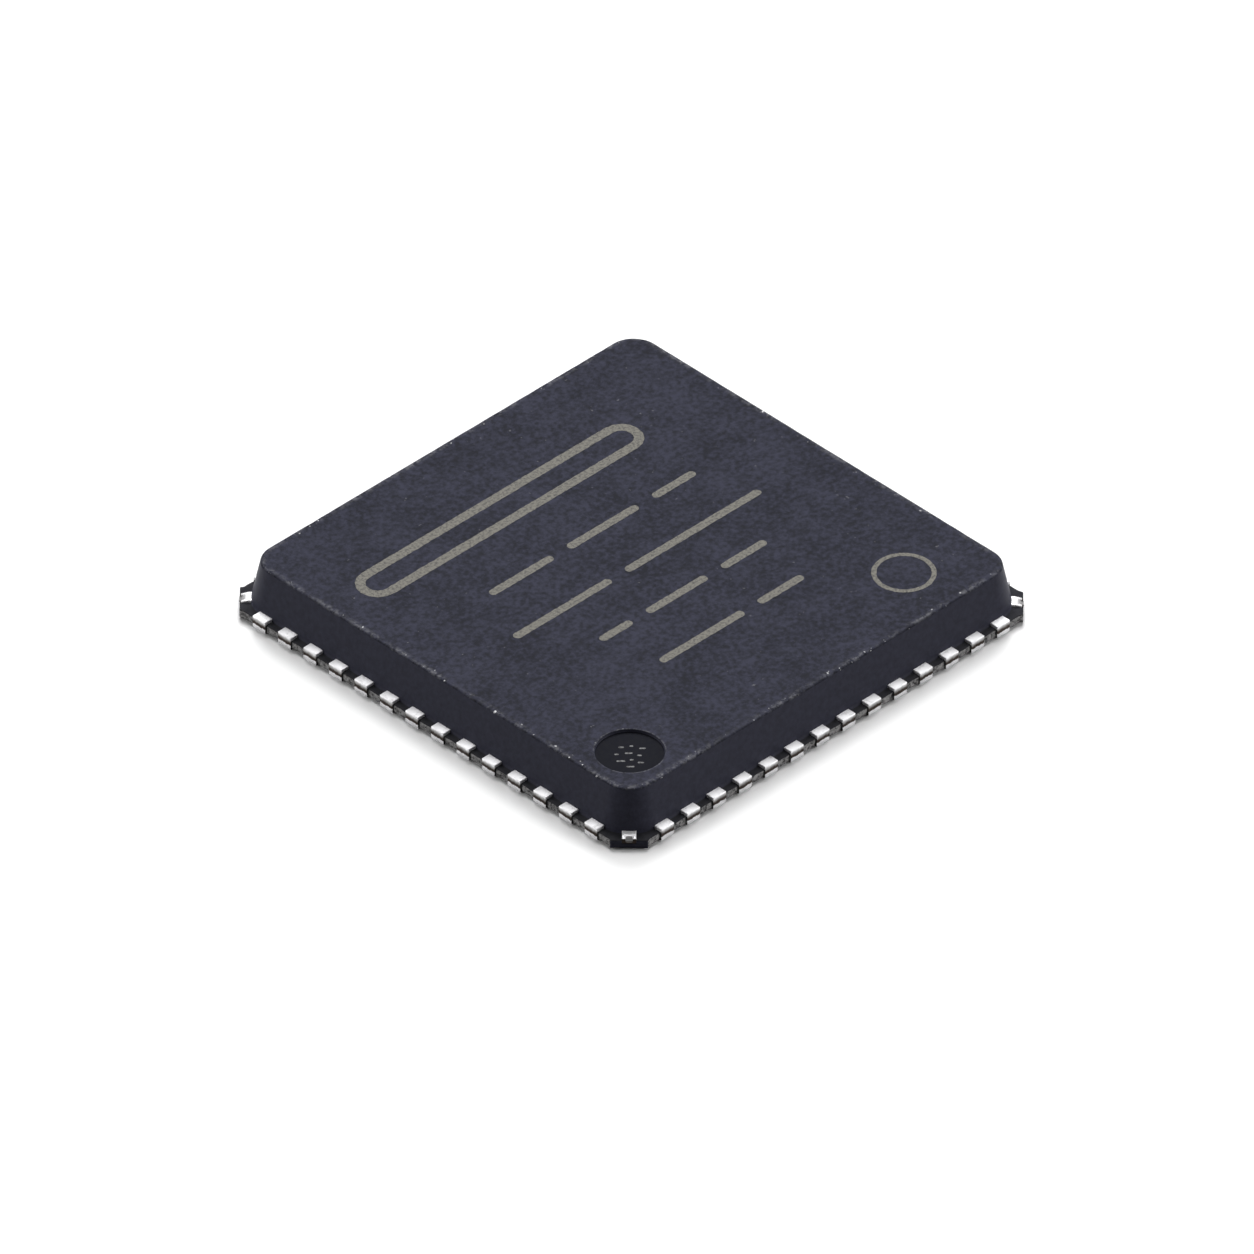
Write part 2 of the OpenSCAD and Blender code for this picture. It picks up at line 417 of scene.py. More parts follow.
def flank_material():
    """A lead's flank: tin above the ledge, and below, where the resin broke away, bare copper painted near
    black, partly as shade in the slot beside the web.
    """
    material, tree, shader = new_material("lead_flank")
    at = position_mm(tree)
    ragged = noise_at(tree, at, TORN_BORDER)
    level = ragged_level(tree, at, ragged, FLANK_RAGGED)
    plated = remap(tree, level, (WEB_Z - FLANK_RAGGED, WEB_Z + FLANK_RAGGED))
    # Below the ledge the flank is near black: bare copper darkened further by painted shade
    link(tree, blend_colours(tree, plated, COPPER_BLACK_AND_SHADE, TIN_PALE), shader.inputs["Base Color"])
    shader.inputs["Metallic"].default_value = FLANK_METALLIC
    link(tree, remap(tree, ragged, COMMON_SPAN, FLANK_ROUGH), shader.inputs["Roughness"])
    return material


def crumbled_material(name, dark, pale):
    """Resin that is broken up into pale crumbs, with dark grains left in it."""
    material, tree, shader = new_material(name)
    crumbs = noise_at(tree, position_mm(tree), BURNT_CRUMBS)
    mottle = remap(tree, crumbs, BURNT_SPAN)
    link(tree, blend_colours(tree, mottle, dark, pale), shader.inputs["Base Color"])
    link(tree, remap(tree, crumbs, COMMON_SPAN, BURNT_ROUGH), shader.inputs["Roughness"])
    link(tree, bump(tree, crumbs, BURNT_RELIEF), shader.inputs["Normal"])
    return material


def varied_metal(name, dark, pale, patches, rough):
    """A metal whose colour and gloss vary a little."""
    material, tree, shader = new_material(name)
    patch = noise_at(tree, position_mm(tree), patches)
    link(tree, blend_colours(tree, patch, dark, pale), shader.inputs["Base Color"])
    shader.inputs["Metallic"].default_value = 1.0
    link(tree, remap(tree, patch, COMMON_SPAN, rough), shader.inputs["Roughness"])
    return material


# Mesh helpers

def add_ring(bm, points):
    return [bm.verts.new(p) for p in points]


def bridge(bm, lower, upper):
    """Quads between two closed rings with the same number of points."""
    count = len(lower)
    for i in range(count):
        j = (i + 1) % count
        bm.faces.new((lower[i], lower[j], upper[j], upper[i]))


def ring_edges(ring):
    """The edges round a ring."""
    found = []
    for i, vert in enumerate(ring):
        other = ring[(i + 1) % len(ring)]
        found.append(next(e for e in vert.link_edges if e.other_vert(vert) is other))
    return found


def fill_between(bm, *rings):
    """Triangles within one ring, or between two, that lie in about one plane."""
    edges = [e for ring in rings for e in ring_edges(ring)]
    bmesh.ops.triangle_fill(bm, use_beauty=True, edges=edges)


def round_off(bm, edges, radius, steps, clamp=False):
    """Gives edges a round profile."""
    bmesh.ops.bevel(bm, geom=edges, offset=radius, segments=steps, profile=ROUND_PROFILE, affect="EDGES",
                    clamp_overlap=clamp)


def add_object(name, bm, materials):
    """An object from a mesh in millimetres."""
    mesh = bpy.data.meshes.new(name)
    bm.to_mesh(mesh)
    bm.free()
    piece = bpy.data.objects.new(name, mesh)
    bpy.context.scene.collection.objects.link(piece)
    for material in materials:
        mesh.materials.append(material)
    return piece


def to_metres(piece):
    piece.data.transform(Matrix.Scale(MM, 4))


def smooth_by_angle(piece):
    piece.data.shade_smooth()
    piece.data.set_sharp_from_angle(angle=SMOOTH_ANGLE)


def cut_away(piece, cutter):
    """Takes the cutter's volume out of the piece, and deletes the cutter."""
    cut = piece.modifiers.new("cut", "BOOLEAN")
    cut.operation = "DIFFERENCE"
    cut.solver = "MANIFOLD"
    cut.object = cutter
    graph = bpy.context.evaluated_depsgraph_get()
    mesh = bpy.data.meshes.new_from_object(piece.evaluated_get(graph))
    piece.modifiers.remove(cut)
    piece.data = mesh
    bpy.data.objects.remove(cutter)


def cad_copy(node):
    """An object in millimetres with the mesh of a CAD node, its corners joined."""
    bm = bmesh.new()
    bm.from_mesh(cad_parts[node].data)
    bmesh.ops.scale(bm, vec=(1 / MM,) * 3, verts=bm.verts)
    bmesh.ops.remove_doubles(bm, verts=bm.verts, dist=JOIN_DISTANCE)
    return add_object("copy_of_" + node, bm, [])


# Resin body

def walk(corners, step):
    """Points along a closed outline, about a step apart, each with its edge's number."""
    points = []
    for k, start in enumerate(corners):
        end = corners[(k + 1) % len(corners)]
        count = max(1, round((end - start).length / step))
        points += [(start.lerp(end, i / count), k) for i in range(count)]
    return points


def octagon_corners():
    """The package's outline: four sides with chamfered corners, counter-clockwise from the -Y side."""
    reach = HALF_W - CORNER_CHAMFER
    corners = []
    for k in range(4):
        turn = Matrix.Rotation(k * math.pi / 2, 2)
        corners += [turn @ Vector((-reach, -HALF_W)), turn @ Vector((reach, -HALF_W))]
    return corners


def rounded_square(half, radius):
    """Points round a square with round corners, counter-clockwise."""
    straight = half - radius
    count = round(2 * straight / CAP_STEP)
    points = []
    for k in range(4):
        turn = Matrix.Rotation(k * math.pi / 2, 2)
        for i in range(count):
            points.append(turn @ Vector((-straight + 2 * straight * i / count, -half)))
        for i in range(CAP_CORNER_STEPS):
            a = -math.pi / 2 + math.pi / 2 * i / CAP_CORNER_STEPS
            x = straight + radius * math.cos(a)
            y = -straight + radius * math.sin(a)
            points.append(turn @ Vector((x, y)))
    return points


WEB_RECESS = 0.022
RECESS_RUN = 0.06
WEB_ROUGHNESS = 0.012
WEB_BITE = 0.4
WEB_WAVES = 9
WEB_WAVES_UP = 14
CHAMFER_ROUGHNESS = 0.002
WEB_EDGE_R = 0.012
WEB_ROWS = 6


def ledge_ring(outline, z, inset):
    """The outline at one height, drawn in, and uneven where the punch broke the resin."""
    points = []
    for point, edge in outline:
        side = edge % 2 == 0
        turn = Matrix.Rotation((edge // 2) * math.pi / 2 + (0 if side else math.pi / 4), 2)
        outward = turn @ Vector((0, -1))
        wave = noise.noise(Vector((point.x * WEB_WAVES, point.y * WEB_WAVES, z * WEB_WAVES_UP)))
        if side:
            to_corner = HALF_W - CORNER_CHAMFER - abs(point @ (turn @ Vector((1, 0))))
            recess = WEB_RECESS * min(1.0, to_corner / RECESS_RUN)
            broken_off = recess + max(0.0, WEB_ROUGHNESS * (WEB_BITE - wave))
        else:
            broken_off = CHAMFER_ROUGHNESS * abs(wave)
        moved = point - outward * (broken_off + inset)
        points.append((moved.x, moved.y, z))
    return points


def add_ledge(bm):
    """The ledge's underside and its uneven wall. Returns its top ring."""
    outline = walk(octagon_corners(), OUTLINE_STEP)
    rows = [(STANDOFF, WEB_EDGE_R)]
    for k in range(WEB_ROWS + 1):
        z = STANDOFF + WEB_EDGE_R + (WEB_Z - STANDOFF - 2 * WEB_EDGE_R) * k / WEB_ROWS
        rows.append((z, 0.0))
    rows.append((WEB_Z, WEB_EDGE_R))
    rings = [add_ring(bm, ledge_ring(outline, z, inset)) for z, inset in rows]
    bm.faces.new(reversed(rings[0]))
    for lower, upper in zip(rings, rings[1:]):
        bridge(bm, lower, upper)
    return rings[-1]


EDGE_CHIP = 0.006
CHIP_WAVES = 5
CHIP_SEED = 3.0
SUPPORT = 0.012
WEAR_IN = 0.03
WEAR_W = 0.07
WEAR_RINGS = (0.036, 0.06, WEAR_IN + WEAR_W)


def cap_rows():
    """Half width, corner radius and height of each ring of the cap, and the numbers of the chipped ones."""
    def wall(z):
        out = (PACKAGE_H - z) * math.tan(CAP_DRAFT)
        return CAP_TOP_HALF + out, CAP_CORNER_R + out, z

    trim = CAP_EDGE_R / math.tan(math.pi / 4 + CAP_DRAFT / 2)
    shoulder = PACKAGE_H - CAP_EDGE_R
    rows = [wall(WEB_Z), wall(FRAME_T + SUPPORT), wall(shoulder - 2 * SUPPORT), wall(shoulder - SUPPORT)]
    chipped = range(len(rows), len(rows) + EDGE_STEPS)
    for k in range(EDGE_STEPS + 1):
        a = CAP_DRAFT + (math.pi / 2 - CAP_DRAFT) * k / EDGE_STEPS
        out = CAP_EDGE_R * math.cos(a) - trim
        rows.append((CAP_TOP_HALF + out, CAP_CORNER_R + out, shoulder + CAP_EDGE_R * math.sin(a)))
    for inset in WEAR_RINGS:
        rows.append((CAP_TOP_HALF - inset, CAP_CORNER_R - inset, PACKAGE_H))
    return rows, chipped


def cap_rings(bm):
    """Rings up the cap's wall and over the edge of its top face."""
    rows, chipped = cap_rows()
    rings = []
    for k, (half, radius, z) in enumerate(rows):
        points = []
        for p in rounded_square(half, radius):
            wave = noise.noise(Vector((p.x * CHIP_WAVES, p.y * CHIP_WAVES, CHIP_SEED)))
            chip = EDGE_CHIP * max(0.0, wave) if k in chipped else 0.0
            points.append((p.x, p.y, z - chip))
        rings.append(add_ring(bm, points))
    return rings


DIMPLE_EDGE = 0.008
DIMPLE_EASE = 0.3 * DIMPLE_EDGE
RIM_WEAR_W = 0.022


def dimple_rings(bm):
    """Rings over the dimple's rim and down to its floor."""
    radius = DIMPLE_D / 2
    floor = PACKAGE_H - DIMPLE_DEPTH
    rows = [(radius + DIMPLE_EDGE + RIM_WEAR_W, PACKAGE_H), (radius + DIMPLE_EDGE, PACKAGE_H),
            (radius + DIMPLE_EASE, PACKAGE_H - DIMPLE_EASE), (radius, PACKAGE_H - DIMPLE_EDGE),
            (radius - DIMPLE_EDGE, floor + DIMPLE_EDGE), (radius - 2 * DIMPLE_EDGE, floor)]
    rings = []
    for r, z in rows:
        points = []
        for i in range(DIMPLE_STEPS):
            a = 2 * math.pi * i / DIMPLE_STEPS
            points.append((-DIMPLE_AT + r * math.cos(a), -DIMPLE_AT + r * math.sin(a), z))
        rings.append(add_ring(bm, points))
    return rings


def resin_blank():
    """The resin body before the lead frame is cut out of it."""
    bm = bmesh.new()
    ledge_top = add_ledge(bm)
    cap = cap_rings(bm)
    dimple = dimple_rings(bm)
    for rings in (cap, dimple):
        for lower, upper in zip(rings, rings[1:]):
            bridge(bm, lower, upper)
    bm.faces.new(dimple[-1])
    fill_between(bm, ledge_top, cap[0])
    fill_between(bm, cap[-1], dimple[0])
    bmesh.ops.recalc_face_normals(bm, faces=bm.faces)
    return bm


def square_distance(x, y, half, radius):
    """Signed distance from a rounded square, negative inside."""
    qx = abs(x) - (half - radius)
    qy = abs(y) - (half - radius)
    return math.hypot(max(qx, 0), max(qy, 0)) + min(max(qx, qy), 0) - radius


def lead_centres():
    """Places of the leads along a side, in order."""
    centres = set()
    for name in LEAD_NAMES:
        low, high = box_mm(name)
        along = (low + high) / 2
        centres.add(round(along.x if abs(along.y) > abs(along.x) else along.y, 4))
    return sorted(centres)


LEAD_CENTRES = lead_centres()
RESIN_FINISHES = ["top", "fractured", "pressed", "wall", "ledge"]
# Width of the painted shade along each web's borders
WEB_SHADE_BORDER = 0.035
LEVEL = 0.6


def nearest_lead_gap(x, y):
    """On a side of the package, the distance along it to the nearest lead's flank."""
    along = x if abs(y) > abs(x) else y
    return min(abs(along - c) for c in LEAD_CENTRES) - LEAD_W / 2


def paint_resin(piece):
    """Marks the worn top edge and the inner part of each web, away from the painted shade along the web's
    borders, and gives each face its material.
    """
    mesh = piece.data
    wear = mesh.attributes.new("edge_wear", "FLOAT", "POINT")
    inside = mesh.attributes.new("web_unshaded", "FLOAT", "POINT")
    for i, vert in enumerate(mesh.vertices):
        x, y, z = vert.co
        from_line = abs(square_distance(x, y, CAP_TOP_HALF - WEAR_IN, CAP_CORNER_R - WEAR_IN))
        from_rim = abs(math.hypot(x + DIMPLE_AT, y + DIMPLE_AT) - DIMPLE_D / 2 - DIMPLE_EDGE)
        nearest = min(from_line / WEAR_W, from_rim / RIM_WEAR_W)
        wear.data[i].value = max(0.0, 1 - nearest) if z > FRAME_T else 0.0
        # Painted shade: each web darkens towards the lead flanks, towards its lower edge by the floor and
        # towards its upper edge
        gap = min(nearest_lead_gap(x, y), z - STANDOFF, WEB_Z - z)
        inside.data[i].value = min(1.0, max(0.0, gap / WEB_SHADE_BORDER))
    for face in mesh.polygons:
        face.material_index = RESIN_FINISHES.index(resin_finish(face.center, face.normal))


def resin_finish(at, normal):
    """The finish of a face of the body, by its place and direction."""
    outermost = max(abs(at.x), abs(at.y))
    across = min(abs(at.x), abs(at.y))
    level = abs(normal.z) > LEVEL
    if at.z < WEB_Z + SUPPORT / 2:
        broken = outermost > HALF_W - WEB_RECESS - 3 * WEB_EDGE_R and across < HALF_W - CORNER_CHAMFER
        if level:
            return "ledge" if normal.z > 0 else "pressed"
        return "fractured" if broken else "wall"
    if at.z < PACKAGE_H - CAP_EDGE_R:
        return "pressed" if level else "wall"
    in_dimple = math.hypot(at.x + DIMPLE_AT, at.y + DIMPLE_AT) < DIMPLE_D / 2
    if in_dimple:
        return "pressed" if normal.z > LEVEL else "wall"
    return "top"


def make_resin_body(materials, lead_blanks):
    """The resin with the leads and the paddle cut out of it."""
    body = add_object("resin_body", resin_blank(), materials)
    cut_away(body, lead_blanks)
    cut_away(body, cad_copy("die_paddle"))
    paint_resin(body)
    smooth_by_angle(body)
    to_metres(body)
    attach(body, "root")
    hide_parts("mould_body")


# Leads

TIP_STEPS = 16
PUNCH_STEPS = 4
LEAD_EDGE = 0.014
LEAD_EDGE_STEPS = 3
LEAD_SHARP = math.radians(50)
ON_LEAD_END = 1e-6
CUTTER_OVERRUN = 0.1
LEAD_UNEVEN = 0.003
LEAD_WAVES = 7
LEAD_FINISHES = ["tin", "end", "flank"]
END_FACING = 0.5
FLANK_FACING = 0.8


def tip_points(reach, z):
    """Points round a lead's inner tip, from its right flank to its left."""
    r = LEAD_W / 2
    points = []
    for i in range(TIP_STEPS + 1):
        a = math.pi * i / TIP_STEPS
        points.append((r * math.cos(a), reach - r + r * math.sin(a), z))
    return points


def lead_mesh(overrun=0.0):
    """A lead with sharp edges: its end an overrun before the origin, its tip towards +Y."""
    bm = bmesh.new()
    r = LEAD_W / 2
    end = {(side, z): bm.verts.new((side * r, -overrun, z)) for side in (-1, 1) for z in (0, FRAME_T)}
    sole = add_ring(bm, tip_points(SOLE_L, 0))
    step = add_ring(bm, tip_points(SOLE_L, ETCHED_Z))
    under = add_ring(bm, tip_points(LEAD_REACH, ETCHED_Z))
    top = add_ring(bm, tip_points(LEAD_REACH, FRAME_T))
    bm.faces.new([end[-1, 0], end[1, 0], *sole][::-1])
    bm.faces.new([end[-1, FRAME_T], end[1, FRAME_T], *top])
    bm.faces.new((end[-1, 0], end[1, 0], end[1, FRAME_T], end[-1, FRAME_T]))
    bm.faces.new((end[1, 0], sole[0], step[0], under[0], top[0], end[1, FRAME_T]))
    bm.faces.new((end[-1, 0], end[-1, FRAME_T], top[-1], under[-1], step[-1], sole[-1]))
    for i in range(TIP_STEPS):
        bm.faces.new((sole[i], sole[i + 1], step[i + 1], step[i]))
        bm.faces.new((under[i], under[i + 1], top[i + 1], top[i]))
    bm.faces.new([*step, *reversed(under)])
    bmesh.ops.recalc_face_normals(bm, faces=bm.faces)
    return bm


def lead_place(name):
    """A lead's matrix, the sign of the corner that it's next to or 0, and its place along its side."""
    low, high = box_mm(name)
    middle = (low + high) / 2

    def outward_reach(k):
        return middle.xy @ (Matrix.Rotation(k * math.pi / 2, 2) @ Vector((0, -1)))

    side = max(range(4), key=outward_reach)
    turn = Matrix.Rotation(side * math.pi / 2, 4, "Z")
    along = (turn.inverted() @ middle).x
    outermost = abs(along) > LEAD_CENTRES[-1] - LEAD_W / 2
    corner = math.copysign(1, along) if outermost else 0
    return turn @ Matrix.Translation((along, -HALF_W, 0)), corner, along


def trim_corner_lead(bm, sign, along):
    """Cuts a corner lead's tongue back from the tie bar, which runs along the diagonal."""
    normal = Vector((sign, 1, 0)).normalized()
    on_diagonal = Vector((sign * HALF_W - along, 0, 0))
    on_plane = on_diagonal - normal * (TIE_W / 2 + TIE_GAP)
    everything = [*bm.verts, *bm.edges, *bm.faces]
    bmesh.ops.bisect_plane(bm, geom=everything, plane_co=on_plane, plane_no=normal, clear_outer=True)
    bmesh.ops.holes_fill(bm, edges=[e for e in bm.edges if e.is_boundary])


def round_edges(bm):
    """Rolls the lower edge of the punched end, then breaks the other sharp edges."""
    rolled = [e for e in bm.edges if all(v.co.y < ON_LEAD_END and v.co.z < ON_LEAD_END for v in e.verts)]
    round_off(bm, rolled, PUNCH_R, PUNCH_STEPS)
    sharp = [e for e in bm.edges if len(e.link_faces) == 2 and e.calc_face_angle() > LEAD_SHARP]
    round_off(bm, sharp, LEAD_EDGE, LEAD_EDGE_STEPS)


def lead_finish(normal):
    """The finish of a face of a lead whose end looks towards -Y."""
    if normal.y < -END_FACING:
        return "end"
    return "flank" if abs(normal.x) > FLANK_FACING else "tin"


def held_in(point):
    """The point, or the nearest one inside the package's outline and above the seating plane."""
    x, y = (min(max(v, -HALF_W), HALF_W) for v in point.xy)
    return Vector((x, y, max(point.z, 0.0)))


def add_blank(blanks, cutter, place):
    """Puts a sharp lead in its place among the blanks."""
    blank = bpy.data.meshes.new("blank")
    cutter.to_mesh(blank)
    cutter.free()
    blank.transform(place)
    blanks.from_mesh(blank)
    bpy.data.meshes.remove(blank)


def make_lead(name, bm, place, materials):
    """A lead in its place, with its edges rounded and its faces a little uneven."""
    round_edges(bm)
    for face in bm.faces:
        face.material_index = LEAD_FINISHES.index(lead_finish(face.normal))
    bmesh.ops.transform(bm, matrix=place, verts=bm.verts)
    for vert in bm.verts:
        vert.co = held_in(vert.co + LEAD_UNEVEN * noise.noise_vector(vert.co * LEAD_WAVES))
    piece = add_object("tinned_" + name, bm, materials)
    smooth_by_angle(piece)
    to_metres(piece)
    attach(piece, "root")
    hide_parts(name)


def make_leads(materials):
    """The leads, and one object with their sharp blanks, which the resin is cut with."""
    blanks = bmesh.new()
    for name in LEAD_NAMES:
        place, corner, along = lead_place(name)
        cutter = lead_mesh(CUTTER_OVERRUN)
        bm = lead_mesh()
        if corner:
            trim_corner_lead(cutter, corner, along)
            trim_corner_lead(bm, corner, along)
        add_blank(blanks, cutter, place)
        make_lead(name, bm, place, materials)
    return add_object("lead_blanks", blanks, [])


# Die paddle, die and bond wires

PADDLE_FLAT = math.radians(1)
PADDLE_SHARP = math.radians(30)
PADDLE_EDGE = 0.012
PADDLE_EDGE_STEPS = 2
TIE_ROLL = 0.028
TIE_ROLL_STEPS = 4
ON_TIE_END = 1e-4
TORN_ROLL = 0.8
DROOP_L = 0.12
DROOP = 0.034
BURR_DROP = 0.028
BURR_T = 0.008
PADDLE_FINISHES = ["tin", "torn", "dent", "burr", "burnished"]
TIE_END_FACING = 0.7


def add_burr(bm, turn):
    """The scrap that hangs from a tie bar's dent, down over the bar's end, thinner and narrower below."""
    top = FRAME_T - DENT_DEPTH
    rows = [(top + BURR_T, DENT_W / 2, BURR_T / 2), (top - BURR_T, DENT_W / 2, BURR_T),
            (top - BURR_DROP, DENT_W / 3, BURR_T / 3)]
    rings = []
    for z, half, out in rows:
        section = [(CHAMFER_AT - BURR_T, -half), (CHAMFER_AT + out, -half), (CHAMFER_AT + out, half),
                   (CHAMFER_AT - BURR_T, half)]
        rings.append(add_ring(bm, [turn @ Vector((x, y, z)) for x, y in section]))
    for lower, upper in zip(rings, rings[1:]):
        bridge(bm, lower, upper)
    ends = [bm.faces.new(rings[0]), bm.faces.new(rings[-1])]
    burr = {f for ring in rings for v in ring for f in v.link_faces}
    bmesh.ops.recalc_face_normals(bm, faces=list(burr | set(ends)))


def along_diagonal(at):
    """Distance from the middle along the nearest tie bar."""
    return (abs(at.x) + abs(at.y)) / math.sqrt(2)


def droop_ends(bm):
    """Lets the upper side of each tie bar sink towards its end, where the punch dragged it down."""
    start = CHAMFER_AT - DROOP_L
    for k in range(4):
        outward = Matrix.Rotation(math.pi / 4 + k * math.pi / 2, 3, "Z") @ Vector((1, 0, 0))
        everything = [*bm.verts, *bm.edges, *bm.faces]
        bmesh.ops.bisect_plane(bm, geom=everything, plane_co=outward * start, plane_no=outward)
    for vert in bm.verts:
        reach = (along_diagonal(vert.co) - start) / DROOP_L
        height = (vert.co.z - ETCHED_Z) / (FRAME_T - ETCHED_Z)
        vert.co.z -= DROOP * max(0.0, reach) * max(0.0, height)


def on_tie_edge(at):
    """Whether a point lies on the upper edge of a tie bar's end."""
    return along_diagonal(at) > CHAMFER_AT - ON_TIE_END and at.z > FRAME_T - ON_TIE_END


def paddle_finish(at, normal):
    """The finish of a face of the paddle: tin, and near a tie bar's end torn, dent, burr or burnished."""
    along = along_diagonal(at)
    across = abs(abs(at.x) - abs(at.y)) / math.sqrt(2)
    outward = (normal.x * math.copysign(1, at.x) + normal.y * math.copysign(1, at.y)) / math.sqrt(2)
    if along < CHAMFER_AT - DROOP_L:
        return "tin"
    if along > CHAMFER_AT + BURR_T / 10:
        return "burr"
    if across < DENT_W / 2 and at.z < FRAME_T - DROOP and outward < TIE_END_FACING:
        return "dent"
    return "torn" if along > CHAMFER_AT - TORN_ROLL * TIE_ROLL else "burnished"


def paddle_blank():
    """The CAD paddle's mesh with whole faces."""
    copy = cad_copy("die_paddle")
    bm = bmesh.new()
    bm.from_mesh(copy.data)
    bpy.data.objects.remove(copy)
    bmesh.ops.dissolve_limit(bm, angle_limit=PADDLE_FLAT, verts=bm.verts, edges=bm.edges)
    return bm


def make_paddle(materials):
    """The paddle with broken edges, and a burr at the end of each tie bar."""
    bm = paddle_blank()
    rolled = [e for e in bm.edges if all(on_tie_edge(v.co) for v in e.verts)]
    round_off(bm, rolled, TIE_ROLL, TIE_ROLL_STEPS, clamp=True)
    sharp = [e for e in bm.edges if e.calc_face_angle() > PADDLE_SHARP]
    round_off(bm, sharp, PADDLE_EDGE, PADDLE_EDGE_STEPS, clamp=True)
    droop_ends(bm)
    for k in range(4):
        add_burr(bm, Matrix.Rotation(math.pi / 4 + k * math.pi / 2, 3, "Z"))
    for face in bm.faces:
        face.material_index = PADDLE_FINISHES.index(paddle_finish(face.calc_center_median(), face.normal))
    paddle = add_object("tinned_paddle", bm, materials)
    smooth_by_angle(paddle)
    to_metres(paddle)
    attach(paddle, "root")
    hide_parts("die_paddle")


def dress_node(node, material):
    """Gives a CAD node its finish."""
    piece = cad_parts[node]
    piece.data.materials.clear()
    piece.data.materials.append(material)


# Laser marks: a plain frame, rows of plain dashes along +X, and a ring

MARK_RISE = 0.0015
MARK_SINK = 0.001
MARK_STEP = 0.02
MARK_UNEVEN = 0.008
MARK_WAVES = 14
MARK_SEED = 1.0
BAR_END_STEPS = 8


def mark_prism(name, outlines, material, level=PACKAGE_H):
    """A thin mark with these outlines on a level, the second outline a hole in the first."""
    bm = bmesh.new()
    low_rings = []
    high_rings = []
    for outline in outlines:
        points = []
        for p in outline:
            ragged = noise.noise_vector(Vector((p.x * MARK_WAVES, p.y * MARK_WAVES, MARK_SEED)))
            points.append(p + MARK_UNEVEN * ragged.xy)
        low_rings.append(add_ring(bm, [(p.x, p.y, level - MARK_SINK) for p in points]))
        high_rings.append(add_ring(bm, [(p.x, p.y, level + MARK_RISE) for p in points]))
        bridge(bm, low_rings[-1], high_rings[-1])
    fill_between(bm, *low_rings)
    fill_between(bm, *high_rings)
    bmesh.ops.recalc_face_normals(bm, faces=bm.faces)
    piece = add_object(name, bm, [material])
    to_metres(piece)
    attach(piece, "root")


def bar_outline(x0, x1, y, thickness):
    """A bar with round ends."""
    r = thickness / 2
    corners = []
    for centre, start in ((x1 - r, -math.pi / 2), (x0 + r, math.pi / 2)):
        for i in range(BAR_END_STEPS + 1):
            a = start + math.pi * i / BAR_END_STEPS
            corners.append(Vector((centre + r * math.cos(a), y + r * math.sin(a))))
    return [p for p, edge in walk(corners, MARK_STEP)]


def circle_outline(x, y, radius):
    count = round(2 * math.pi * radius / MARK_STEP)
    points = []
    for i in range(count):
        a = 2 * math.pi * i / count
        points.append(Vector((x + radius * math.cos(a), y + radius * math.sin(a))))
    return points


# A plain frame, then rows of dashes: height on the face, then the dashes' ends
FRAME_ENDS = (-3.15, 2.2)
FRAME_Y = 2.1
FRAME_H = 0.64
FRAME_STROKE = 0.15
DASH_T = 0.13
DASH_ROWS = [
    (0.84, [(-1.9, -0.7), (-0.4, 0.95), (1.25, 2.05)]),
    (-0.09, [(-2.35, -0.5), (-0.2, 2.4)]),
    (-0.96, [(-1.55, -0.95), (-0.65, 0.5), (0.8, 1.65)]),
    (-1.88, [(-1.3, 0.3), (0.6, 1.45)]),
]
RING_AT = (2.5, -2.8)
RING_R = 0.45
RING_STROKE = 0.07

# Rough flecks that the mould's pin left in the dimple, coloured pale as a painted glint: ends across the
# diagonal, then places along it
FLECK_T = 0.032
FLECKS = [
    (-0.16, -0.08, 0.14), (0.0, 0.05, 0.17), (0.13, 0.22, 0.12), (-0.21, -0.15, -0.02),
    (-0.07, 0.04, 0.01), (0.1, 0.16, -0.04), (-0.18, -0.06, -0.17), (0.0, 0.06, -0.14),
    (0.11, 0.2, -0.2), (-0.05, 0.07, -0.29),
]


def make_flecks(material):
    turn = Matrix.Rotation(-math.pi / 4, 2)
    centre = Vector((-DIMPLE_AT, -DIMPLE_AT))
    for k, (start, end, along) in enumerate(FLECKS, 1):
        outline = [centre + turn @ p for p in bar_outline(start, end, along, FLECK_T)]
        mark_prism(f"dimple_fleck_{k}", [outline], material, PACKAGE_H - DIMPLE_DEPTH)


def make_marks(material):
    x0, x1 = FRAME_ENDS
    inner = (x0 + FRAME_STROKE, x1 - FRAME_STROKE, FRAME_Y, FRAME_H - 2 * FRAME_STROKE)
    mark_prism("mark_frame", [bar_outline(x0, x1, FRAME_Y, FRAME_H), bar_outline(*inner)], material)
    for row, (y, dashes) in enumerate(DASH_ROWS, 1):
        for k, (start, end) in enumerate(dashes, 1):
            mark_prism(f"mark_row_{row}_dash_{k}", [bar_outline(start, end, y, DASH_T)], material)
    ring = [circle_outline(*RING_AT, RING_R), circle_outline(*RING_AT, RING_R - RING_STROKE)]
    mark_prism("mark_ring", ring, material)


# Stage, lights and camera

FLOOR_REACH = 400
FLOOR_DROP = 0.001
FLOOR_SEEN = 1.0
FLOOR_MIRRORED = 1.0
FLOOR_BOUNCE = 0.17
WORLD_LIGHT = 0.05
LIGHT_DISTANCE = 270

# Soft lights: name, azimuth and elevation in degrees, size, radiance
LIGHTS = [
    ("light_back", 135, 45, 90, 19.2),
    ("light_back_left", 157, 61, 66, 13.9),
    ("light_back_right", 113, 61, 66, 13.2),
    ("light_top", 135, 78, 90, 3.2),
    ("light_left", -135, 18, 165, 3.55),
    ("light_right", 45, 18, 165, 4.3),
]


